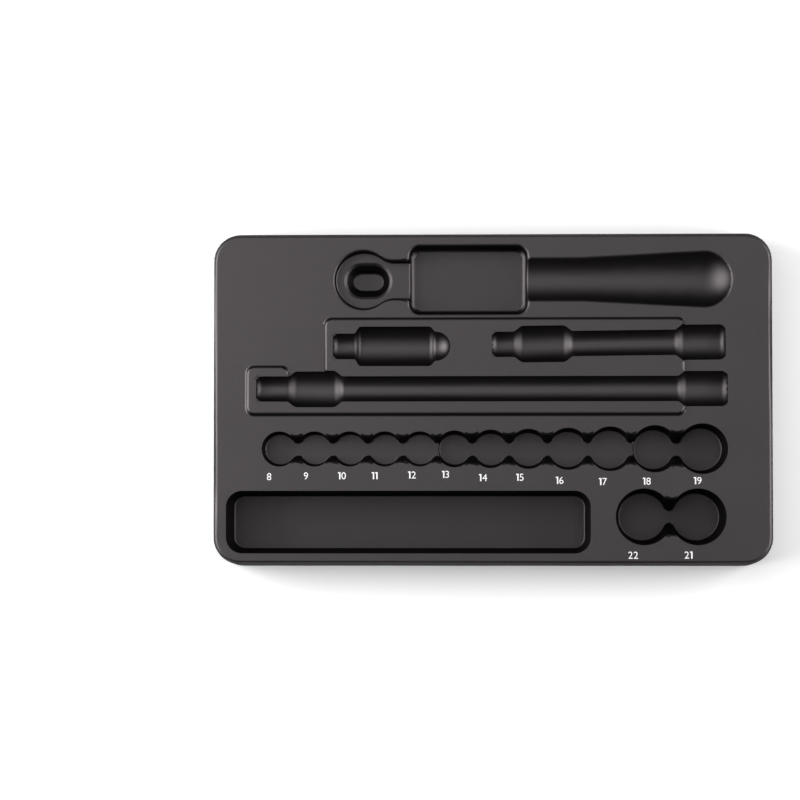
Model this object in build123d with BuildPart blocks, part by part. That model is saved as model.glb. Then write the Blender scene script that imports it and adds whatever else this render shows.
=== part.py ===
"""A drawer tray for a small socket set, drawn from one sheet of black plastic.

The sheet is the space between two forms of the same shape. The outer form carries the face that is seen.
The inner form lies one sheet further in, is plainer, and leaves the hollow under the tray.
The finished sheet is then parted along straight lines on its flat deck into five portions that touch.
The frame has its origin at the middle of the foot, +X along the tray, +Y to the back and +Z up.
"""

import os
from math import acos, atan2, copysign, cos, degrees, hypot, pi, radians, sin, tan

from build123d import *

# Overall sizes in millimetres, measured at the foot
tray_length = 311.0
tray_width = 185.0
deck_height = 30.0
corner_radius = 16.0
sheet = 1.8

# Slopes in degrees
skirt_draft = 2.5
wall_draft = 5.0
channel_draft = 13.5
bevel_slope = 45.0

# Edges of the deck and of the mouths of the hollows
shoulder_bevel = 2.2
mouth_bevel = 1.2

# Raised land that carries the universal joint and the extension bars, inset from the foot's edges
land_rise = 3.0
land_left_inset = 19.9
land_right_inset = 49.6
land_front_inset = 101.0
land_back_inset = 48.3
land_step_inset = 74.8
notch_left_inset = 42.6
notch_right_inset = 63.0
land_corner = 3.5
land_shoulder = 1.4

# Ratchet recess: head shelf, drive well, finger well and handle trough on one axis
ratchet_inset = 26.6
head_inset = 84.3
head_radius = 16.3
neck_width = 21.6
neck_blend = 12.0
head_depth = 7.5
drive_shift = 2.2
drive_length = 25.4
drive_width = 18.8
drive_depth = 9.5
drive_draft = 25.0
finger_reach = 58.0
finger_length = 65.8
finger_width = 38.0
finger_corner = 6.0
finger_depth = 13.0
finger_bevel = 2.6
handle_root_reach = 120.1
handle_end_reach = 188.1
handle_lift = 6.0
handle_root = 13.2
handle_bulb = 16.4
handle_end_draft = 25.0
handle_end_room = 1.6

# Universal joint pocket, turned about an axis at the level of the land
joint_inset = 63.5
joint_left_inset = 67.4
joint_tail = 12.2
joint_tail_radius = 7.2
joint_body = 39.4
joint_body_radius = 11.0
joint_tip = 0.4
joint_tip_radius = 8.2
joint_taper = 2.4

# Extension bar slots, turned about axes at the level of the land
bar_radius = 7.1
collar_radius = 10.2
bar_taper = 4.0
end_bevel = 2.0
short_inset = 62.6
short_left_inset = 155.3
short_lean = 0.6
short_drive = 12.4
short_collar = 23.8
short_shank = 57.0
short_socket = 23.5
long_inset = 87.0
long_left_inset = 24.9
long_drive = 17.6
long_collar = 22.0
long_shank = 185.5
long_socket = 23.1

# Socket wells: a row of twelve and a pair, with a channel that joins each to the next
row_inset = 64.9
row_left_inset = 37.6
small_well = 19.7
well_diameters = {
    8: small_well,
    9: small_well,
    10: small_well,
    11: small_well,
    12: small_well,
    13: 20.6,
    14: 21.5,
    15: 22.4,
    16: 23.5,
    17: 24.9,
    18: 26.3,
    19: 28.2,
}
shallow_sizes = (8, 9, 10, 11, 12)
middle_sizes = (13, 14, 15, 16, 17)
deep_sizes = (18, 19)
small_overlap = 0.25
large_overlap = 1.05
shallow_depth = 13.5
middle_depth = 17.5
deep_depth = 22.0
pair_inset = 27.4
pair_right_inset = 72.0
pair_diameter = 31.5
pair_pitch = 29.6
pair_depth = 26.0
channel_floor = 7.5

# Open compartment, whose floor rests on the drawer
bin_left_inset = 8.0
bin_right_inset = 101.3
bin_front_inset = 7.1
bin_back_inset = 41.9
bin_corner = 9.0

# Lines on the deck where the sheet is parted, inset from the foot's edges
rim_width = 5.0
ratchet_line_inset = 47.5
wells_line_inset = 82.1
bin_line_inset = 46.3
pair_line_inset = 94.5

# Flat sides that stand for a full circle on the underside, at corners and at cups
corner_sides = 12
cup_sides = 6

# How far a cutting solid stands out of the face that it cuts
overrun = 1.0

# Edges of the foot, and the levels and axes that the hollows share
right = tray_length / 2
left = -right
back = tray_width / 2
front = -back
land_top = deck_height + land_rise
shelf = deck_height - head_depth
ratchet_axis = back - ratchet_inset
head_x = left + head_inset
finger_x = head_x + finger_reach
long_axis = back - long_inset


def spread(height, draft):
    """How far a wall with this draft moves sideways over a height."""
    return height * tan(radians(draft))


def lying_axis(x, y, z, lean):
    """A plane with its x axis along a tool that lies in the tray, and its y axis up."""
    along = (cos(radians(lean)), sin(radians(lean)), 0)
    across = (sin(radians(lean)), -cos(radians(lean)), 0)
    return Plane(origin=(x, y, z), x_dir=along, z_dir=across)


def flat_corners(length, width, radius):
    """A rectangle whose corner rounds are stood for by flat sides that touch them."""
    step = 2 * pi / corner_sides
    reach = radius / cos(step / 2)
    points = []
    for turn in range(corner_sides):
        angle = (turn + 0.5) * step
        side_x = copysign(length / 2 - radius, cos(angle))
        side_y = copysign(width / 2 - radius, sin(angle))
        points.append((side_x + reach * cos(angle), side_y + reach * sin(angle)))
    with BuildSketch() as outline:
        with BuildLine():
            Polyline(*points, close=True)
        make_face()
    return outline.sketch


# The axis of the ratchet's handle
trough = lying_axis(head_x, ratchet_axis, deck_height + handle_lift, 0)


def drafted_plug(outline, top, depth, draft, floor_bevel, skin):
    """A hollow with leaning walls and a flat floor. On the seen face its mouth is bevelled.

    The outline is the mouth without its bevel. Under the tray it comes already grown by the skin.
    """
    wall = depth + skin - floor_bevel
    with BuildPart() as plug:
        with BuildSketch(Plane.XY.offset(top + overrun)):
            add(outline)
            offset(amount=spread(overrun, draft), kind=Kind.INTERSECTION, mode=Mode.REPLACE)
        extrude(amount=-(wall + overrun), taper=draft)
        if floor_bevel:
            with BuildSketch(Plane.XY.offset(top - wall)):
                add(outline)
                offset(amount=-spread(wall, draft), kind=Kind.INTERSECTION, mode=Mode.REPLACE)
            extrude(amount=-floor_bevel, taper=bevel_slope)
        if not skin:
            with BuildSketch(Plane.XY.offset(top + overrun)):
                add(outline)
                offset(amount=mouth_bevel + overrun, mode=Mode.REPLACE)
            extrude(amount=-(mouth_bevel + overrun), taper=bevel_slope)
    return plug.part


def turned_plug(profile, plane, top):
    """A hollow turned about the plane's x axis and cut off above the top."""
    with BuildPart() as plug:
        with BuildSketch(plane):
            add(profile)
        revolve(axis=Axis(plane.origin, plane.x_dir))
        split(bisect_by=Plane.XY.offset(top + overrun), keep=Keep.BOTTOM)
    return plug.part


def cup(plane, start, length, radius, taper):
    """A flat-sided rod along the plane's x axis, with a flat side at the bottom, for the underside."""
    place = plane.origin + plane.x_dir * start
    with BuildPart() as rod:
        with BuildSketch(Plane(place, (0, 0, 1), plane.x_dir * copysign(1, length))):
            RegularPolygon(radius, cup_sides, major_radius=False, rotation=degrees(pi / cup_sides))
        extrude(amount=abs(length), taper=taper)
    return rod.part


def slot_cups(steps, taper, domed, plane, skin):
    """The underside of a slot: one flat-sided cup for each step, which takes in the tapers beside it."""
    total = sum(length for length, radius in steps) + taper * (len(steps) - 1)
    if domed:
        total += steps[-1][1]
    place = 0
    with BuildPart() as plug:
        for length, radius in steps:
            start = max(place - taper, 0) - skin
            end = total if (length, radius) == steps[-1] else place + length + taper
            add(cup(plane, start, min(end, total) + skin - start, radius + skin, 0))
            place += length + taper
        split(bisect_by=Plane.XY.offset(land_top + overrun), keep=Keep.BOTTOM)
    return plug.part


def slot_plug(steps, taper, domed, plane, skin):
    """A slot turned about an axis on the land: (length, radius) steps joined by short tapers.

    Its far end is a dome or is bevelled.
    """
    if skin:
        return slot_cups(steps, taper, domed, plane, skin)
    points = [(0, 0)]
    place = 0
    for length, radius in steps:
        points += [(place, radius), (place + length, radius)]
        place += length + taper
    tip = (points[-1][0] + radius if domed else points[-1][0], 0)
    with BuildSketch() as profile:
        with BuildLine():
            Polyline(*points)
            if domed:
                RadiusArc(points[-1], tip, radius)
            else:
                Line(points[-1], tip)
            Line(tip, points[0])
        make_face()
        corners = profile.vertices().filter_by(lambda corner: corner.Y > 0).sort_by(Axis.X)
        chamfer(corners[0] if domed else (corners[0], corners[-1]), end_bevel)
    with BuildPart() as plug:
        add(turned_plug(profile.sketch, plane, land_top))
        with BuildSketch(Plane(plane.origin + (0, 0, overrun), plane.x_dir, (0, 0, 1))):
            add(profile.sketch)
            mirror(about=Plane.XZ)
            offset(amount=mouth_bevel + overrun, kind=Kind.INTERSECTION, mode=Mode.REPLACE)
        extrude(amount=-(mouth_bevel + overrun), taper=bevel_slope)
    return plug.part


def handle_plug():
    """The trough of the ratchet's handle on the seen face: a cone that runs into a ball."""
    with BuildSketch() as handle:
        with BuildLine():
            reach = hypot(handle_end_reach - handle_root_reach, handle_root)
            turn = atan2(handle_root, handle_root_reach - handle_end_reach) - acos(handle_bulb / reach)
            touch = (handle_end_reach + handle_bulb * cos(turn), handle_bulb * sin(turn))
            root = (handle_root_reach, handle_root)
            tip = (handle_end_reach + handle_bulb, 0)
            side = Polyline((finger_reach, 0), (finger_reach, handle_root), root, touch)
            TangentArc(touch, tip, tangent=side % 1)
            Line(tip, (finger_reach, 0))
        make_face()
    return turned_plug(handle.sketch, trough, deck_height)


def handle_cup(skin):
    """The underside of the handle's trough, with flat sides in place of the cone and the ball."""
    lean = degrees(atan2(handle_bulb - handle_root, handle_end_reach - handle_root_reach))
    ball = handle_bulb + skin
    with BuildPart() as plug:
        add(cup(trough, handle_end_reach, ball, ball + handle_end_room, handle_end_draft))
        add(cup(trough, handle_end_reach, finger_reach - handle_end_reach, ball, lean))
        split(bisect_by=Plane.XY.offset(deck_height + overrun), keep=Keep.BOTTOM)
    return plug.part


def ratchet_plug(skin):
    """Head shelf, finger well and handle trough as one hollow."""
    with BuildSketch() as head:
        with Locations((head_x, ratchet_axis)):
            if skin:
                RegularPolygon(head_radius + skin, cup_sides, major_radius=False)
            else:
                Circle(head_radius)
            Rectangle(finger_reach, neck_width + 2 * skin, align=(Align.MIN, Align.CENTER))
        if not skin:
            inner = head.vertices().filter_by(lambda corner: corner.X < head_x + head_radius)
            fillet(inner, neck_blend)
    with BuildSketch() as finger:
        with Locations((finger_x, ratchet_axis)):
            if skin:
                add(flat_corners(finger_length + 2 * skin, finger_width + 2 * skin, finger_corner + skin))
            else:
                RectangleRounded(finger_length, finger_width, finger_corner)
    floor_bevel = 0 if skin else finger_bevel
    with BuildPart() as plug:
        add(drafted_plug(head.sketch, deck_height, head_depth, wall_draft, 0, skin))
        add(drafted_plug(finger.sketch, deck_height, finger_depth, wall_draft, floor_bevel, skin))
        add(handle_cup(skin) if skin else handle_plug())
    return plug.part


def drive_plug(skin):
    """The deeper well under the ratchet's square drive, sunk in the head shelf."""
    with BuildSketch() as drive:
        with Locations((head_x + drive_shift, ratchet_axis)):
            if skin:
                add(flat_corners(drive_length + 2 * skin, drive_width + 2 * skin, drive_width / 2 + skin))
            else:
                SlotOverall(drive_length, drive_width)
    return drafted_plug(drive.sketch, shelf, drive_depth, drive_draft, 0, skin)


def joint_plug(skin):
    """The pocket of the universal joint, with a domed end."""
    steps = (
        (joint_tail, joint_tail_radius),
        (joint_body, joint_body_radius),
        (joint_tip, joint_tip_radius),
    )
    axis = lying_axis(left + joint_left_inset, back - joint_inset, land_top, 0)
    return slot_plug(steps, joint_taper, True, axis, skin)


def short_bar_plug(skin):
    """The slot of the short extension bar, which leans a little: drive end, collar, shank, socket end."""
    steps = (
        (short_drive, bar_radius),
        (short_collar, collar_radius),
        (short_shank, bar_radius),
        (short_socket, collar_radius),
    )
    axis = lying_axis(left + short_left_inset, back - short_inset, land_top, short_lean)
    return slot_plug(steps, bar_taper, False, axis, skin)


def long_bar_plug(skin):
    """The slot of the long extension bar, with the same steps on a longer shank."""
    steps = (
        (long_drive, bar_radius),
        (long_collar, collar_radius),
        (long_shank, bar_radius),
        (long_socket, collar_radius),
    )
    axis = lying_axis(left + long_left_inset, long_axis, land_top, 0)
    return slot_plug(steps, bar_taper, False, axis, skin)


def channel(start, end, axis_y, half_floor, floor, half_top, top):
    """A straight trough with leaning sides, along X."""
    with BuildPart() as trough:
        with BuildSketch(Plane.YZ.offset(start)):
            with BuildLine():
                Polyline(
                    (axis_y - half_top, top),
                    (axis_y + half_top, top),
                    (axis_y + half_floor, floor),
                    (axis_y - half_floor, floor),
                    close=True,
                )
            make_face()
        extrude(amount=end - start)
    return trough.part


def wells_plug(centres, diameters, axis_y, depth, skin):
    """Round wells of one depth in a line, and the channel that joins them.

    A last centre with no diameter is where the channel runs on to. Under the tray the wells have flat sides.
    """
    top = deck_height + overrun
    floor = deck_height - depth - skin
    bevel_foot = deck_height - mouth_bevel
    flare = mouth_bevel + overrun
    upright = (Align.CENTER, Align.CENTER, Align.MAX)
    half_floor = channel_floor / 2 + skin
    half_mouth = half_floor + spread(bevel_foot - floor, channel_draft)
    half_top = half_floor + spread(top - floor, channel_draft)
    with BuildPart() as plug:
        for x, diameter in zip(centres, diameters):
            wide = diameter / 2 + skin + spread(overrun, wall_draft)
            if skin:
                with BuildSketch(Plane.XY.offset(top)):
                    with Locations((x, axis_y)):
                        RegularPolygon(wide, cup_sides, major_radius=False)
                extrude(amount=floor - top, taper=wall_draft)
            else:
                with Locations((x, axis_y, top)):
                    Cone(wide - spread(top - floor, wall_draft), wide, top - floor, align=upright)
                    Cone(diameter / 2, diameter / 2 + flare, flare, align=upright)
        add(channel(centres[0], centres[-1], axis_y, half_floor, floor, half_top, top))
        if not skin:
            wide = half_mouth + flare
            add(channel(centres[0], centres[-1], axis_y, half_mouth, bevel_foot, wide, top))
    return plug.part


def row_plug(skin):
    """The row of twelve wells on three floor levels, each level's channel running on to the next."""
    sizes = list(well_diameters)
    places = {sizes[0]: left + row_left_inset}
    for size, following in zip(sizes, sizes[1:]):
        overlap = small_overlap if following in shallow_sizes else large_overlap
        pitch = (well_diameters[size] + well_diameters[following]) / 2 - overlap
        places[following] = places[size] + pitch
    levels = (
        (shallow_sizes, middle_sizes[:1], shallow_depth),
        (middle_sizes, deep_sizes[:1], middle_depth),
        (deep_sizes, (), deep_depth),
    )
    with BuildPart() as plug:
        for level, onward, depth in levels:
            centres = [places[size] for size in level + onward]
            diameters = [well_diameters[size] for size in level]
            add(wells_plug(centres, diameters, front + row_inset, depth, skin))
    return plug.part


def pair_plug(skin):
    """The two large wells in the front right corner."""
    first = right - pair_right_inset
    centres = [first, first + pair_pitch]
    return wells_plug(centres, [pair_diameter, pair_diameter], front + pair_inset, pair_depth, skin)


def bin_plug(skin):
    """The open compartment for loose parts, down to the sheet that rests on the drawer."""
    length = tray_length - bin_left_inset - bin_right_inset
    width = bin_back_inset - bin_front_inset
    corner = (left + bin_left_inset + length / 2, front + bin_front_inset + width / 2)
    with BuildSketch() as outline:
        with Locations(corner):
            if skin:
                add(flat_corners(length + 2 * skin, width + 2 * skin, bin_corner + skin))
            else:
                RectangleRounded(length, width, bin_corner)
    return drafted_plug(outline.sketch, deck_height, deck_height - sheet, wall_draft, 0, skin)


def land_outline(skin):
    """The land seen from above, with the notch beside the long bar's collar."""
    with BuildSketch() as outline:
        with BuildLine():
            Polyline(
                (left + land_left_inset, back - land_front_inset),
                (right - land_right_inset, back - land_front_inset),
                (right - land_right_inset, back - land_back_inset),
                (left + notch_right_inset, back - land_back_inset),
                (left + notch_right_inset, long_axis),
                (left + notch_left_inset, long_axis),
                (left + notch_left_inset, back - land_step_inset),
                (left + land_left_inset, back - land_step_inset),
                close=True,
            )
        make_face()
        if skin:
            offset(amount=-skin, kind=Kind.INTERSECTION, mode=Mode.REPLACE)
        else:
            fillet(outline.vertices(), land_corner)
    return outline.sketch


def tray_form(skin):
    """The whole shape under one face of the sheet, with no hollow below it."""
    base = -overrun if skin else 0
    with BuildPart() as form:
        with BuildSketch(Plane.XY.offset(base)):
            grown = spread(-base, skirt_draft) - skin
            length = tray_length + 2 * grown
            width = tray_width + 2 * grown
            if skin:
                add(flat_corners(length, width, corner_radius + grown))
            else:
                RectangleRounded(length, width, corner_radius)
        extrude(amount=deck_height - skin - base, taper=skirt_draft)
        if not skin:
            chamfer(form.faces().sort_by(Axis.Z)[-1].edges(), shoulder_bevel)
        with BuildSketch(Plane.XY.offset(deck_height - skin)):
            add(land_outline(skin))
        extrude(amount=land_rise)
        if not skin:
            chamfer(form.faces().sort_by(Axis.Z)[-1].edges(), land_shoulder)
        for plug in (
            ratchet_plug,
            drive_plug,
            joint_plug,
            short_bar_plug,
            long_bar_plug,
            row_plug,
            pair_plug,
            bin_plug,
        ):
            add(plug(skin), mode=Mode.SUBTRACT)
    return form.part


def column(x_from, x_to, y_from, y_to):
    """An upright block over a rectangle of the deck, taller than the tray."""
    with BuildPart() as block:
        with Locations(((x_from + x_to) / 2, (y_from + y_to) / 2, -overrun)):
            height = land_top + 2 * overrun
            Box(x_to - x_from, y_to - y_from, height, align=(Align.CENTER, Align.CENTER, Align.MIN))
    return block.part


os.makedirs("parts", exist_ok=True)

with BuildPart() as tray:
    add(tray_form(0))
    add(tray_form(sheet), mode=Mode.SUBTRACT)

# The rim: the shoulder and skirt that go all round
with BuildPart() as inside:
    with BuildSketch(Plane.XY.offset(-overrun)):
        add(flat_corners(tray_length - 2 * rim_width, tray_width - 2 * rim_width, corner_radius - rim_width))
    extrude(amount=land_top + 2 * overrun)

with BuildPart() as rim_skirt:
    add(tray.part)
    add(inside.part, mode=Mode.SUBTRACT)

# Lines where the deck inside the rim is parted
ratchet_line = back - ratchet_line_inset
wells_line = front + wells_line_inset
bin_line = front + bin_line_inset
pair_line = right - pair_line_inset

# The ratchet's portion, across the back
with BuildPart() as ratchet_recess:
    add(tray.part)
    add(inside.part, mode=Mode.INTERSECT)
    add(column(left, right, ratchet_line, back), mode=Mode.INTERSECT)

# The land's portion, across the middle
with BuildPart() as bar_land:
    add(tray.part)
    add(inside.part, mode=Mode.INTERSECT)
    add(column(left, right, wells_line, ratchet_line), mode=Mode.INTERSECT)

# The compartment's portion, in the front left corner
with BuildPart() as parts_compartment:
    add(tray.part)
    add(inside.part, mode=Mode.INTERSECT)
    add(column(left, pair_line, front, bin_line), mode=Mode.INTERSECT)

# The wells' portion: the row's strip, and the pair's corner in front of it
with BuildPart() as socket_wells:
    add(tray.part)
    add(inside.part, mode=Mode.INTERSECT)
    add(column(left, right, front, wells_line), mode=Mode.INTERSECT)
    add(column(left, pair_line, front, bin_line), mode=Mode.SUBTRACT)

rim_skirt.part.label = "rim_skirt"
export_step(rim_skirt.part, "parts/rim_skirt.step")
ratchet_recess.part.label = "ratchet_recess"
export_step(ratchet_recess.part, "parts/ratchet_recess.step")
bar_land.part.label = "bar_land"
export_step(bar_land.part, "parts/bar_land.step")
socket_wells.part.label = "socket_wells"
export_step(socket_wells.part, "parts/socket_wells.step")
parts_compartment.part.label = "parts_compartment"
export_step(parts_compartment.part, "parts/parts_compartment.step")
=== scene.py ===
# %% [markdown]
# A drawer tray for a small socket set
#
# The real tray is one sheet of black plastic, warmed and drawn over a mould. It has a flat deck with a
# rounded shoulder, a skirt that stands on the drawer's floor, and a hollow for each tool. The CAD model
# holds that sheet as five portions that touch. This script joins them into one smooth sheet, gives it the
# satin grain of the plastic, and prints the size numbers in white ink.

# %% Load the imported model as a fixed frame
from bisect import bisect_right
from itertools import product
from math import radians

import bmesh
import bpy
from mathutils import Matrix, Vector
from mathutils.kdtree import KDTree


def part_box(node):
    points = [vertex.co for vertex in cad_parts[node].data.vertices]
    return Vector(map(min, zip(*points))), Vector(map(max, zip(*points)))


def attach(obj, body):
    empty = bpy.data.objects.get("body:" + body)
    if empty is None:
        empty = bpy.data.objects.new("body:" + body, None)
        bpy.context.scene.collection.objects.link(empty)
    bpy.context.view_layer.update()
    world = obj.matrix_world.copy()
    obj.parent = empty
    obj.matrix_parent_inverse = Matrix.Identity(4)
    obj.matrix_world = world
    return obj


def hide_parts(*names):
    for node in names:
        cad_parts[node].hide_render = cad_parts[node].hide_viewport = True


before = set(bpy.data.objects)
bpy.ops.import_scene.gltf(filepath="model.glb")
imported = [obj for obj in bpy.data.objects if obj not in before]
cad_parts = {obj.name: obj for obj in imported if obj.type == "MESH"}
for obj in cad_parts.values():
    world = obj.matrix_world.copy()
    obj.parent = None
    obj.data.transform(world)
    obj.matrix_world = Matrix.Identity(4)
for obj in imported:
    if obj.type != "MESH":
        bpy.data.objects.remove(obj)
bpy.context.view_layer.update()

scene = bpy.context.scene
print("portions", sorted(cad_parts))

# %% [markdown]
# Where the portions meet
#
# The portions meet edge to edge on the deck, so each has a narrow cut face at its border that the real
# sheet lacks. These faces could be hidden by a thin cover, but a joined mesh is cleaner. The rim's border
# is cut where the portions' corners touch it, so that every edge finds its partner, and the cut faces are
# found by their corners, which another portion shares.

# %% Find the borders of the portions
PORTIONS = ("ratchet_recess", "bar_land", "socket_wells", "parts_compartment")
RIM = "rim_skirt"
BOXES = [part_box(name) for name in PORTIONS]
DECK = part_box(RIM)[1].z
WELD = 4e-6
LEVEL = 0.99999
UPRIGHT = 0.01
RIM_REACH = 0.01


def cut_rim(form):
    """Cut the rim at the corners of the portions that touch it."""
    for box in BOXES:
        for place, side in product(box, box):
            for normal, across in ((Vector((1, 0, 0)), 1), (Vector((0, 1, 0)), 0)):
                near = [
                    face
                    for face in form.faces
                    if abs(face.calc_center_median()[across] - side[across]) < RIM_REACH
                ]
                edges = dict.fromkeys(edge for face in near for edge in face.edges)
                corners = dict.fromkeys(corner for face in near for corner in face.verts)
                geometry = list(corners) + list(edges) + near
                bmesh.ops.bisect_plane(form, geom=geometry, dist=WELD, plane_co=place, plane_no=normal)


def border_faces(form, ends):
    """The upright faces whose corners all lie on another portion too."""
    form.verts.index_update()
    form.normal_update()
    tree = KDTree(len(form.verts))
    for corner in form.verts:
        tree.insert(corner.co, corner.index)
    tree.balance()

    def is_shared(corner):
        owners = {bisect_right(ends, index) for place, index, gap in tree.find_range(corner.co, WELD)}
        return len(owners) > 1

    return [face for face in form.faces if abs(face.normal.z) < UPRIGHT and all(map(is_shared, face.verts))]


def is_parting_line(edge):
    """Whether an edge lies in the deck where two portions met."""
    if any(abs(face.normal.z) < LEVEL for face in edge.link_faces):
        return False
    lines = ((side[axis], axis) for box in BOXES for side in box for axis in (0, 1))
    return any(all(abs(corner.co[axis] - line) < WELD for corner in edge.verts) for line, axis in lines)


def is_inside_deck(edge):
    """Whether an edge lies inside the flat deck."""
    flat = len(edge.link_faces) == 2 and all(face.normal.z > LEVEL for face in edge.link_faces)
    return flat and all(abs(corner.co.z - DECK) < WELD for corner in edge.verts)


print("deck at", round(DECK, 4))

# %% [markdown]
# The formed sheet
#
# Copies of the portions go into one mesh, the cut faces are taken out, and the edges of the deck are
# welded. Modelling the sheet again would only risk a different shape, so the CAD faces are kept. The deck's
# triangles are dissolved into a few large faces, because a long thin triangle would fold over when an edge
# beside it is rounded. No edge should be left open.

# %% Join the portions into one sheet
DECK_ANGLE = radians(0.1)


def formed_sheet():
    """One mesh from copies of all the portions."""
    form = bmesh.new()
    form.from_mesh(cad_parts[RIM].data)
    bmesh.ops.remove_doubles(form, verts=form.verts, dist=WELD)
    form.normal_update()
    inner = [face for face in form.faces if abs(face.normal.z) < UPRIGHT]
    bmesh.ops.delete(form, geom=inner, context="FACES")
    cut_rim(form)
    ends = []
    for name in PORTIONS:
        ends.append(len(form.verts))
        form.from_mesh(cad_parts[name].data)
    borders = border_faces(form, ends)
    bmesh.ops.delete(form, geom=borders, context="FACES")
    bmesh.ops.remove_doubles(form, verts=form.verts, dist=WELD)
    form.normal_update()
    lines = [edge for edge in form.edges if is_parting_line(edge)]
    bmesh.ops.dissolve_edges(form, edges=lines, use_verts=True)
    form.normal_update()
    deck_edges = [edge for edge in form.edges if is_inside_deck(edge)]
    bmesh.ops.dissolve_limit(form, angle_limit=DECK_ANGLE, verts=[], edges=deck_edges)
    print("cut faces taken out", len(inner) + len(borders))
    return form


sheet_form = formed_sheet()
open_edges = [edge for edge in sheet_form.edges if len(edge.link_faces) != 2]
print("sheet faces", len(sheet_form.faces), "open edges", len(open_edges))

# %% [markdown]
# Floors and tongues
#
# Warm sheet can't follow a sharp corner of the mould, so each floor turns into its wall through a small
# round, and the tongues of deck between two wells have rounded tips. The CAD model leaves these corners
# plain. They could be picked by hand, but a rule on height, slope and angle still finds them when a size
# changes.

# %% Find the floors and the tongues
FLOOR_GAP = 0.004
FLOOR_ANGLE = radians(60)
TIP_ANGLE = radians(20)
TIP_DROP = 0.5
SEEN = 0.02
LEANING = 0.85
WELLS_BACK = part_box("socket_wells")[1].y


def is_floor(face):
    """Whether a face is a flat floor of a hollow, well below the deck."""
    return face.normal.z > LEVEL and face.calc_center_median().z < DECK - FLOOR_GAP


def is_wall(face):
    """Whether a face is a leaning wall or a bevelled mouth on the seen side."""
    return SEEN < face.normal.z < LEANING


def is_tongue_tip(edge):
    """Whether an edge is the steep outer corner between two wells."""
    first, second = edge.verts
    drop = abs(first.co.z - second.co.z)
    if len(edge.link_faces) != 2 or drop < TIP_DROP * edge.calc_length():
        return False
    if max(first.co.y, second.co.y) > WELLS_BACK or not all(map(is_wall, edge.link_faces)):
        return False
    return edge.calc_face_angle_signed() > TIP_ANGLE


def is_floor_edge(edge):
    """Whether an edge is where a floor meets a wall."""
    if len(edge.link_faces) != 2:
        return False
    kinds = [is_floor(face) for face in edge.link_faces]
    return any(kinds) and not all(kinds) and edge.calc_face_angle_signed() < -FLOOR_ANGLE


print("faces of floors", sum(map(is_floor, sheet_form.faces)))

# %% [markdown]
# Land, slots and lips
#
# The raised land stands up from the deck through a round at its foot. The slots in it are turned shapes,
# and each step in their width is soft, which shows as a glint across the slot. The lips of the ratchet's
# recess are soft too. The round at the foot stays clear of the mouths of the slots, where there is no room
# for it.

# %% Find the land's foot, the slots' steps and the lips
FOOT_CLEAR = 0.0012
FOOT_ANGLE = radians(60)
LIP_ANGLE = radians(52)
STEP_ANGLE = radians(15)
STEP_TURN = 0.2
MOUTH = 0.0014
LAND_LOW, LAND_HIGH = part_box("bar_land")
RATCHET_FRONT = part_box("ratchet_recess")[0].y


def is_mouth(corner):
    """Whether a corner of the deck is at the mouth of a hollow."""
    beside = (other for face in corner.link_faces for other in face.verts)
    return abs(corner.co.z - DECK) < WELD and any(WELD < DECK - other.co.z < MOUTH for other in beside)


def is_land_foot(edge):
    """Whether an edge is where the raised land stands up from the deck."""
    if len(edge.link_faces) != 2 or any(abs(corner.co.z - DECK) > WELD for corner in edge.verts):
        return False
    return edge.calc_face_angle_signed() < -FOOT_ANGLE


def clear_foot(form):
    """The edges of the land's foot, apart from those close to the mouth of a hollow."""
    mouths = [corner.co for corner in form.verts if is_mouth(corner)]
    tree = KDTree(len(mouths))
    for index, place in enumerate(mouths):
        tree.insert(place, index)
    tree.balance()

    def is_clear(edge):
        return all(tree.find(corner.co)[2] > FOOT_CLEAR for corner in edge.verts)

    return [edge for edge in form.edges if is_land_foot(edge) and is_clear(edge)]


def is_ratchet_lip(edge):
    """Whether an edge is an outer corner of the ratchet's recess that has no bevel."""
    if len(edge.link_faces) != 2 or min(corner.co.y for corner in edge.verts) < RATCHET_FRONT:
        return False
    seen = all(face.normal.z > SEEN for face in edge.link_faces)
    return seen and edge.calc_face_angle_signed() > LIP_ANGLE


def is_slot_step(edge):
    """Whether an edge runs round a turned slot, where its width changes or at its end."""
    first, second = (corner.co for corner in edge.verts)
    middle = (first + second) / 2
    in_land = all(LAND_LOW[axis] < middle[axis] < LAND_HIGH[axis] for axis in (0, 1))
    if len(edge.link_faces) != 2 or not in_land or any(face.normal.z < SEEN for face in edge.link_faces):
        return False
    if abs(first.x - second.x) > STEP_TURN * edge.calc_length():
        return False
    if abs(first.z - second.z) < WELD and middle.z > DECK - MOUTH:
        return False
    return abs(edge.calc_face_angle_signed()) > STEP_ANGLE


print("land's size", tuple(round(side, 4) for side in LAND_HIGH - LAND_LOW))

# %% [markdown]
# Rounds of the forming
#
# A Bevel modifier could round the whole sheet at once, but each kind of corner has a round of its own size,
# so the corners are bevelled one kind after another. The flat floors are first made single faces, so that
# the rounds run evenly. The steps go first, because the other rounds would change the edges they are found
# by.

# %% Round the corners
FLOOR_ROUND = 0.0009
FOOT_ROUND = 0.0015
LIP_ROUND = 0.0011
TONGUE_ROUND = 0.0014
STEP_ROUND = 0.0011
ROUND_STEPS = 3


def floor_regions(form):
    """The flat floors, each as a list of the faces that make it up."""
    left = dict.fromkeys(face for face in form.faces if is_floor(face))
    regions = []
    while left:
        region = [left.popitem()[0]]
        for face in region:
            beside = dict.fromkeys(other for edge in face.edges for other in edge.link_faces if other in left)
            region += beside
            for other in beside:
                del left[other]
        regions.append(region)
    return regions


def plain_floors(form):
    """Make each flat floor a single face, unless it has a hole in it."""
    for region in floor_regions(form):
        corners = {corner for face in region for corner in face.verts}
        edges = {edge for face in region for edge in face.edges}
        if len(corners) - len(edges) + len(region) == 1:
            bmesh.ops.dissolve_faces(form, faces=region, use_verts=False)


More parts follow.
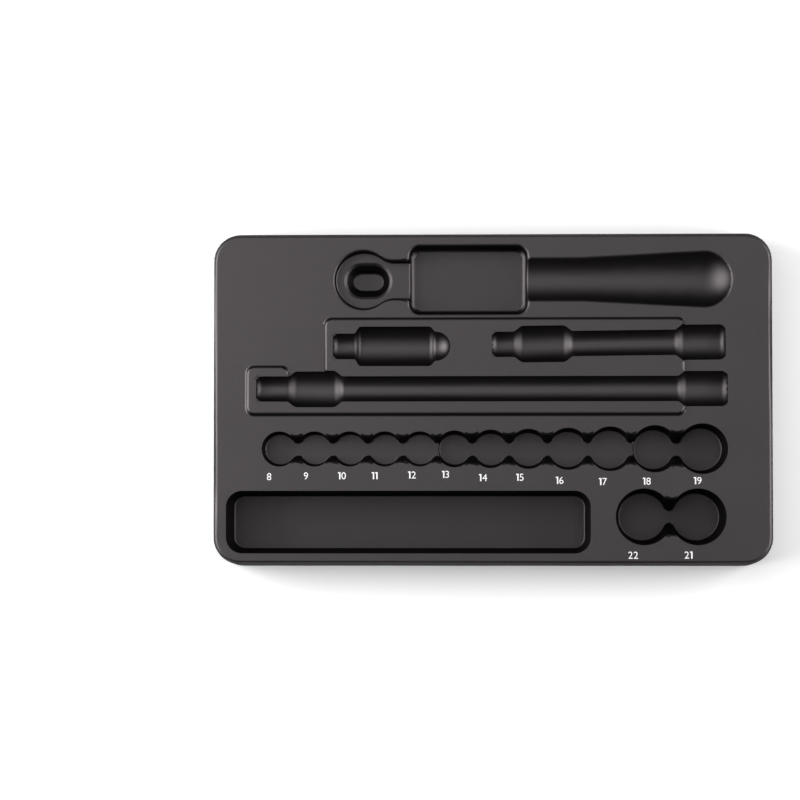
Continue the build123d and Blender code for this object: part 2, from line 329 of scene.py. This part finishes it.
def rounded(form, name, edges, width):
    """Round some edges of the sheet."""
    print("rounded", name, len(edges))
    bmesh.ops.bevel(
        form,
        geom=edges,
        offset=width,
        offset_type="OFFSET",
        segments=ROUND_STEPS,
        profile=0.5,
        affect="EDGES",
        clamp_overlap=False,
        material=-1,
    )
    form.normal_update()


def round_sheet(form):
    """Round each kind of corner in turn."""
    plain_floors(form)
    rounded(form, "steps", [edge for edge in form.edges if is_slot_step(edge)], STEP_ROUND)
    rounded(form, "tips", [edge for edge in form.edges if is_tongue_tip(edge)], TONGUE_ROUND)
    rounded(form, "floors", [edge for edge in form.edges if is_floor_edge(edge)], FLOOR_ROUND)
    rounded(form, "foot", clear_foot(form), FOOT_ROUND)
    rounded(form, "lips", [edge for edge in form.edges if is_ratchet_lip(edge)], LIP_ROUND)


round_sheet(sheet_form)
print("sheet faces", len(sheet_form.faces))

# %% [markdown]
# Soft edges
#
# A drawn sheet has no sharp edge on its seen side. Each mouth has a bevel, and its shading is what makes it
# look round: a corner that touches a level face takes the level normal, and any other corner takes the mean
# of the faces around it, by area. So deck and floors stay flat and the narrow bevels turn from one to the
# other. A Weighted Normal modifier does much the same, but it leaves streaks on the deck, so the normals are
# set here.

# %% Shade the sheet
SHARP = radians(50)


def corner_normal(face, corner):
    """The shading normal of one corner of a face."""
    if abs(face.normal.z) > LEVEL:
        return face.normal.copy()
    beside = [other for other in corner.link_faces if face.normal.angle(other.normal, 0) < SHARP]
    level = [other for other in beside if abs(other.normal.z) > LEVEL]
    if level:
        return level[0].normal.copy()
    total = sum((other.normal * other.calc_area() for other in beside), Vector())
    return total.normalized()


def finish_sheet(form):
    """Make the joined sheet an object with soft bevels."""
    for face in form.faces:
        face.smooth = True
    normals = [corner_normal(face, corner) for face in form.faces for corner in face.verts]
    mesh = bpy.data.meshes.new("formed_sheet")
    form.to_mesh(mesh)
    form.free()
    mesh.normals_split_custom_set(normals)
    sheet = bpy.data.objects.new("formed_sheet", mesh)
    scene.collection.objects.link(sheet)
    return sheet


sheet = finish_sheet(sheet_form)
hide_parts(RIM, *PORTIONS)
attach(sheet, "root")
print("sheet", len(sheet.data.polygons), "faces")

# %% [markdown]
# Shader sums
#
# A finish is easier to read as sums than as a chain of nodes. A small class wraps a socket, so that adding
# or multiplying two values adds the node that does it, and one method makes every other kind of node.


# %% Write finishes as sums
class Value:
    """A socket that can take part in sums."""

    def __init__(self, finish, socket):
        self.finish = finish
        self.socket = socket

    def joined(self, operation, first, second):
        return self.finish.add("ShaderNodeMath", {"operation": operation}, {0: first, 1: second})

    def __add__(self, other):
        return self.joined("ADD", self, other)

    __radd__ = __add__

    def __sub__(self, other):
        return self.joined("SUBTRACT", self, other)

    def __rsub__(self, other):
        return self.joined("SUBTRACT", other, self)

    def __mul__(self, other):
        return self.joined("MULTIPLY", self, other)

    __rmul__ = __mul__


class Finish:
    """A material and its nodes."""

    def __init__(self, name):
        self.material = bpy.data.materials.new(name)
        self.material.use_nodes = True
        self.tree = self.material.node_tree
        self.tree.nodes.clear()

    def add(self, kind, settings=None, sockets=None, output=0):
        """Add a node: its settings first, then the values or links of its sockets."""
        node = self.tree.nodes.new(kind)
        for name, setting in (settings or {}).items():
            setattr(node, name, setting)
        for name, value in (sockets or {}).items():
            if isinstance(value, Value):
                self.tree.links.new(value.socket, node.inputs[name])
            else:
                node.inputs[name].default_value = value
        return Value(self, node.outputs[output]) if node.outputs else None

    def place(self):
        """The piece's own coordinates, in metres."""
        return self.add("ShaderNodeTexCoord", output="Object")

    def surface(self, shader):
        """Send a shader to the output."""
        self.add("ShaderNodeOutputMaterial", None, {"Surface": shader})
        return self.material


print("finish helpers ready")

# %% [markdown]
# Black satin plastic
#
# The sheet is black all through, with a fine grain from the mould that breaks up reflections and leaves a
# soft sheen. The grain is small cells under a finer noise, as bump. The colour and the roughness drift a
# little over the deck, as handled plastic does. A shader with the usual bright edge makes the steep walls
# grey, so the sheen is a layer of plain gloss over a dull body. The gloss is made weaker with depth, as
# painted shade that darkens the hollows the deeper they go.

# %% Make the black plastic
GRAIN_CELLS = 1500.0
GRAIN_NOISE = 3200.0
GRAIN_HEIGHT = 0.00005
CELL_SHARE = 0.6
NOISE_SHARE = 0.4
DRIFT = 28.0
BLACK = (0.0020, 0.0019, 0.0019, 1)
BLACK_WORN = (0.0032, 0.0030, 0.0030, 1)
SATIN = 0.48
SATIN_DRIFT = 0.1
SHEEN = (1.0, 0.91, 0.93, 1)
SHEEN_SHARE = 0.062
# Painted shade: the gloss share drops by this much per metre below the deck, darkening the hollows.
PAINTED_SHADE_FADE = 0.6


def black_plastic():
    """Satin black with a moulded grain, its gloss weakened with depth as painted shade in the hollows."""
    finish = Finish("black_plastic")
    place = finish.place()
    drift = finish.add("ShaderNodeTexNoise", None, {"Vector": place, "Scale": DRIFT, "Detail": 4.0})
    cells = finish.add("ShaderNodeTexVoronoi", None, {"Vector": place, "Scale": GRAIN_CELLS})
    noise = finish.add("ShaderNodeTexNoise", None, {"Vector": place, "Scale": GRAIN_NOISE, "Detail": 2.0})
    colour = finish.add(
        "ShaderNodeMix",
        {"data_type": "RGBA"},
        {"Factor": drift, 6: BLACK, 7: BLACK_WORN},
        output=2,
    )
    bump = finish.add(
        "ShaderNodeBump",
        None,
        {"Strength": 1.0, "Distance": GRAIN_HEIGHT, "Height": cells * CELL_SHARE + noise * NOISE_SHARE},
    )
    roughness = SATIN + drift * SATIN_DRIFT
    height = finish.add("ShaderNodeSeparateXYZ", None, {"Vector": place}, output="Z")
    # Painted shade: the gloss weakens with depth below the deck, so deep floors and walls render darker.
    sheen_share_with_painted_shade = SHEEN_SHARE - (DECK - height) * PAINTED_SHADE_FADE
    body = finish.add(
        "ShaderNodeBsdfPrincipled",
        None,
        {"Base Color": colour, "Roughness": roughness, "Specular IOR Level": 0.0, "Normal": bump},
    )
    sheen = finish.add(
        "ShaderNodeBsdfAnisotropic",
        {"distribution": "BECKMANN"},
        {"Color": SHEEN, "Roughness": roughness, "Normal": bump},
    )
    return finish.surface(finish.add("ShaderNodeMixShader", None, {0: sheen_share_with_painted_shade, 1: body, 2: sheen}))


sheet.data.materials.append(black_plastic())
print("plastic on", sheet.name)

# %% [markdown]
# White ink
#
# The print is matt white and a little thin in places, where the grain of the plastic takes less ink. A fine
# noise mixes two whites, and makes the thin places slightly smoother.

# %% Mix the ink
INK_THIN = (0.62, 0.62, 0.63, 1)
INK_FULL = (0.86, 0.86, 0.87, 1)
INK_SPECK = 900.0
INK_MATT = 0.45
INK_MATT_DRIFT = 0.15


def white_ink():
    """Matt white print that thins a little in places."""
    finish = Finish("white_ink")
    place = finish.place()
    speck = finish.add("ShaderNodeTexNoise", None, {"Vector": place, "Scale": INK_SPECK, "Detail": 3.0})
    colour = finish.add(
        "ShaderNodeMix",
        {"data_type": "RGBA"},
        {"Factor": speck, 6: INK_THIN, 7: INK_FULL},
        output=2,
    )
    shader = finish.add(
        "ShaderNodeBsdfPrincipled",
        None,
        {"Base Color": colour, "Roughness": INK_MATT + speck * INK_MATT_DRIFT},
    )
    return finish.surface(shader)


ink = white_ink()
print("ink", ink.name)

# %% [markdown]
# Digits
#
# Ink lies on the plastic as a very thin raised film, so each digit is a text curve with a small thickness,
# turned into a mesh one unit high. Blender's own font has a plain bar for its 1, and the print has one with
# a small flag, so that digit is extruded from six corners.

# %% Make the digits
DIGIT_WELD = 0.0001
ONE = ((0.0, 1.0), (0.0, 0.83), (0.16, 0.83), (0.16, 0.0), (0.36, 0.0), (0.36, 1.0))


def flagged_one():
    """The digit 1 with a small flag."""
    form = bmesh.new()
    form.faces.new([form.verts.new((along, up, 0)) for along, up in ONE])
    made = bmesh.ops.extrude_face_region(form, geom=form.faces[:], use_keep_orig=True)
    raised = [item for item in made["geom"] if isinstance(item, bmesh.types.BMVert)]
    bmesh.ops.translate(form, verts=raised, vec=(0, 0, 1))
    bmesh.ops.recalc_face_normals(form, faces=form.faces)
    return form


def typed_digit(character):
    """A digit of Blender's own font, as high and as thick as the 1."""
    curve = bpy.data.curves.new("digit", "FONT")
    curve.body = character
    curve.extrude = 0.01
    maker = bpy.data.objects.new("digit", curve)
    scene.collection.objects.link(maker)
    bpy.context.view_layer.update()
    graph = bpy.context.evaluated_depsgraph_get()
    mesh = bpy.data.meshes.new_from_object(maker.evaluated_get(graph))
    form = bmesh.new()
    form.from_mesh(mesh)
    bpy.data.objects.remove(maker)
    bpy.data.curves.remove(curve)
    bpy.data.meshes.remove(mesh)
    low = Vector(map(min, *(corner.co for corner in form.verts)))
    high = Vector(map(max, *(corner.co for corner in form.verts)))
    size = high - low
    grow = Matrix.Diagonal((1 / size.y, 1 / size.y, 1 / size.z, 1))
    bmesh.ops.transform(form, matrix=grow @ Matrix.Translation(-low), verts=form.verts)
    bmesh.ops.remove_doubles(form, verts=form.verts, dist=DIGIT_WELD)
    return form


def digit_mesh(character):
    """A digit's mesh, one unit high and thick, with its left edge at the start."""
    form = flagged_one() if character == "1" else typed_digit(character)
    mesh = bpy.data.meshes.new("digit_" + character)
    form.to_mesh(mesh)
    form.free()
    return mesh


digits = {character: digit_mesh(character) for character in "0123456789"}
print("digits", len(digits))

# %% [markdown]
# Printed size numbers
#
# Each well has its socket size beside it. The digits of a number are set side by side, scaled to the height
# of the print and laid on the deck, sunk by a hair so that no gap shows under them. The places are in
# millimetres from the tray's middle.

# %% Print the numbers
PRINT_HEIGHT = 0.0039
DIGIT_GAP = 0.13
INK = 0.00004
INK_SINK = 0.00001
MILLIMETRE = 0.001
NUMBERS = {
    "8": (-123.4, -42.9),
    "9": (-103.0, -42.5),
    "10": (-83.1, -42.4),
    "11": (-65.0, -42.4),
    "12": (-44.4, -42.0),
    "13": (-25.9, -41.7),
    "14": (-5.2, -43.5),
    "15": (15.1, -43.3),
    "16": (37.0, -45.0),
    "17": (60.8, -45.7),
    "18": (84.9, -45.5),
    "19": (112.8, -45.2),
    "22": (77.3, -86.2),
    "21": (107.7, -86.1),
}


def printed_number(text, place):
    """One number as a thin film of ink on the deck."""
    form = bmesh.new()
    reach = -DIGIT_GAP
    for character in text:
        count = len(form.verts)
        form.from_mesh(digits[character])
        form.verts.ensure_lookup_table()
        fresh = form.verts[count:]
        bmesh.ops.translate(form, verts=fresh, vec=(reach + DIGIT_GAP, 0, 0))
        reach = max(corner.co.x for corner in fresh)
    centre = Matrix.Translation((-reach / 2, -0.5, 0))
    grow = Matrix.Diagonal((PRINT_HEIGHT, PRINT_HEIGHT, INK, 1))
    spot = Matrix.Translation((place[0] * MILLIMETRE, place[1] * MILLIMETRE, DECK - INK_SINK))
    bmesh.ops.transform(form, matrix=spot @ grow @ centre, verts=form.verts)
    mesh = bpy.data.meshes.new("number_" + text)
    form.to_mesh(mesh)
    form.free()
    mesh.materials.append(ink)
    number = bpy.data.objects.new("number_" + text, mesh)
    scene.collection.objects.link(number)
    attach(number, "root")
    return number


printed = [printed_number(text, place) for text, place in NUMBERS.items()]
for digit in digits.values():
    bpy.data.meshes.remove(digit)
print("numbers", len(printed))

# %% [markdown]
# Floor
#
# The tray lies on a plain pale floor that keeps its shadow. Far from the tray the lamps no longer reach, so
# there the floor is plain white to the camera alone, and the background stays even from any side. From
# below it is clear, so that it doesn't hide the tray.

# %% Lay a pale floor
FLOOR_SIZE = 6.0
FLOOR_DROP = 0.0004
FLOOR_PALE = (0.9, 0.9, 0.9, 1)
FLOOR_MATT = 0.9
WHITE = (1, 1, 1, 1)
NEAR_FLOOR = 0.4
FAR_FLOOR = 0.8


def floor_white():
    """A matt pale floor that is plain white to the camera far from the tray."""
    finish = Finish("floor_white")
    matt = finish.add("ShaderNodeBsdfPrincipled", None, {"Base Color": FLOOR_PALE, "Roughness": FLOOR_MATT})
    white = finish.add("ShaderNodeEmission", None, {"Color": WHITE, "Strength": 1.0})
    far = finish.add("ShaderNodeVectorMath", {"operation": "LENGTH"}, {0: finish.place()}, output="Value")
    fade = finish.add(
        "ShaderNodeMapRange",
        {"interpolation_type": "SMOOTHSTEP"},
        {"Value": far, "From Min": NEAR_FLOOR, "From Max": FAR_FLOOR},
    )
    seen = finish.add("ShaderNodeLightPath", output="Is Camera Ray")
    top = finish.add("ShaderNodeMixShader", None, {0: fade * seen, 1: matt, 2: white})
    clear = finish.add("ShaderNodeBsdfTransparent")
    below = finish.add("ShaderNodeNewGeometry", output="Backfacing")
    return finish.surface(finish.add("ShaderNodeMixShader", None, {0: below, 1: top, 2: clear}))


def pale_floor():
    """A plain floor a hair below the tray's foot."""
    form = bmesh.new()
    bmesh.ops.create_grid(form, x_segments=1, y_segments=1, size=FLOOR_SIZE)
    bmesh.ops.translate(form, verts=form.verts, vec=(0, 0, -FLOOR_DROP))
    mesh = bpy.data.meshes.new("floor")
    form.to_mesh(mesh)
    form.free()
    floor = bpy.data.objects.new("floor", mesh)
    scene.collection.objects.link(floor)
    mesh.materials.append(floor_white())
    return floor


floor = pale_floor()
print("floor", tuple(floor.dimensions))

# %% [markdown]
# Light
#
# The photograph has a wide soft light from above, stronger on the left and at the back, and none from the
# front. A large lamp overhead, set to the left and to the back, gives the deck its grey sheen, and two
# upright lamps draw the bright edges. The lamps are kept out of the camera's sight, because it looks
# through them. The world is white to the camera, a dim grey in reflections, and nearly dark as a light, so
# that walls stay black.

# %% Set the lamps
LAMPS = {
    "overhead": ((-0.75, 0.42, 1.10), (2.4, 1.45), 14.8, (-0.75, 0.42, 0)),
    "left_side": ((-1.10, 0.05, 0.50), (1.0, 0.7), 22.0, (0, 0, 0)),
    "right_side": ((1.10, 0.05, 0.50), (1.0, 0.7), 18.0, (0, 0, 0)),
}
WORLD_LEVEL = 0.01
WORLD_LOOKS = {"Is Glossy Ray": 0.1, "Is Camera Ray": 1.0}


def lamp(name, place, size, power, aim):
    """A soft rectangular lamp that the camera doesn't see."""
    light = bpy.data.lights.new(name, "AREA")
    light.shape = "RECTANGLE"
    light.size = size[0]
    light.size_y = size[1]
    light.energy = power
    holder = bpy.data.objects.new(name, light)
    scene.collection.objects.link(holder)
    holder.location = place
    holder.rotation_euler = (Vector(aim) - Vector(place)).to_track_quat("-Z", "Y").to_euler()
    holder.visible_camera = False
    return holder


def background(tree, level):
    """A plain white background of some strength."""
    node = tree.nodes.new("ShaderNodeBackground")
    node.inputs["Color"].default_value = WHITE
    node.inputs["Strength"].default_value = level
    return node


def studio_world():
    """A world that is white to the camera, grey in reflections and nearly dark as a light."""
    world = bpy.data.worlds.new("studio")
    world.use_nodes = True
    tree = world.node_tree
    tree.nodes.clear()
    rays = tree.nodes.new("ShaderNodeLightPath")
    shader = background(tree, WORLD_LEVEL)
    for ray, level in WORLD_LOOKS.items():
        mix = tree.nodes.new("ShaderNodeMixShader")
        tree.links.new(rays.outputs[ray], mix.inputs[0])
        tree.links.new(shader.outputs[0], mix.inputs[1])
        tree.links.new(background(tree, level).outputs[0], mix.inputs[2])
        shader = mix
    output = tree.nodes.new("ShaderNodeOutputWorld")
    tree.links.new(shader.outputs[0], output.inputs["Surface"])
    return world


lamps = [lamp(name, *facts) for name, facts in LAMPS.items()]
scene.world = studio_world()
scene.view_settings.view_transform = "Standard"
print("lamps", [holder.name for holder in lamps])

# %% [markdown]
# Camera
#
# The photograph looks almost straight down from a distance, with the tray to the right of the picture's
# middle. The camera's turn is built from three directions, so that the tray's back is always towards the
# top.

# %% Place the camera
CAMERA_PLACE = Vector((0.004, -0.067, 1.68))
CAMERA_AIM = Vector((-0.051, -0.0006, 0.03))
CAMERA_FIELD = 0.442


def down_camera():
    """A camera that looks down with the tray's back towards the top of the picture."""
    camera = bpy.data.objects.new("camera", bpy.data.cameras.new("camera"))
    scene.collection.objects.link(camera)
    forward = (CAMERA_AIM - CAMERA_PLACE).normalized()
    across = forward.cross(Vector((0, 1, 0))).normalized()
    up = across.cross(forward)
    turn = Matrix((across, up, -forward)).transposed()
    camera.matrix_world = Matrix.Translation(CAMERA_PLACE) @ turn.to_4x4()
    reach = (CAMERA_AIM - CAMERA_PLACE).length
    camera.data.lens = camera.data.sensor_width * reach / CAMERA_FIELD
    scene.camera = camera
    return camera


camera = down_camera()
print("lens", round(camera.data.lens, 1))

# %% [markdown]
# Bringing the scene up to date
#
# This last cell only brings the view layer up to date.

# %% Update the view layer
bpy.context.view_layer.update()
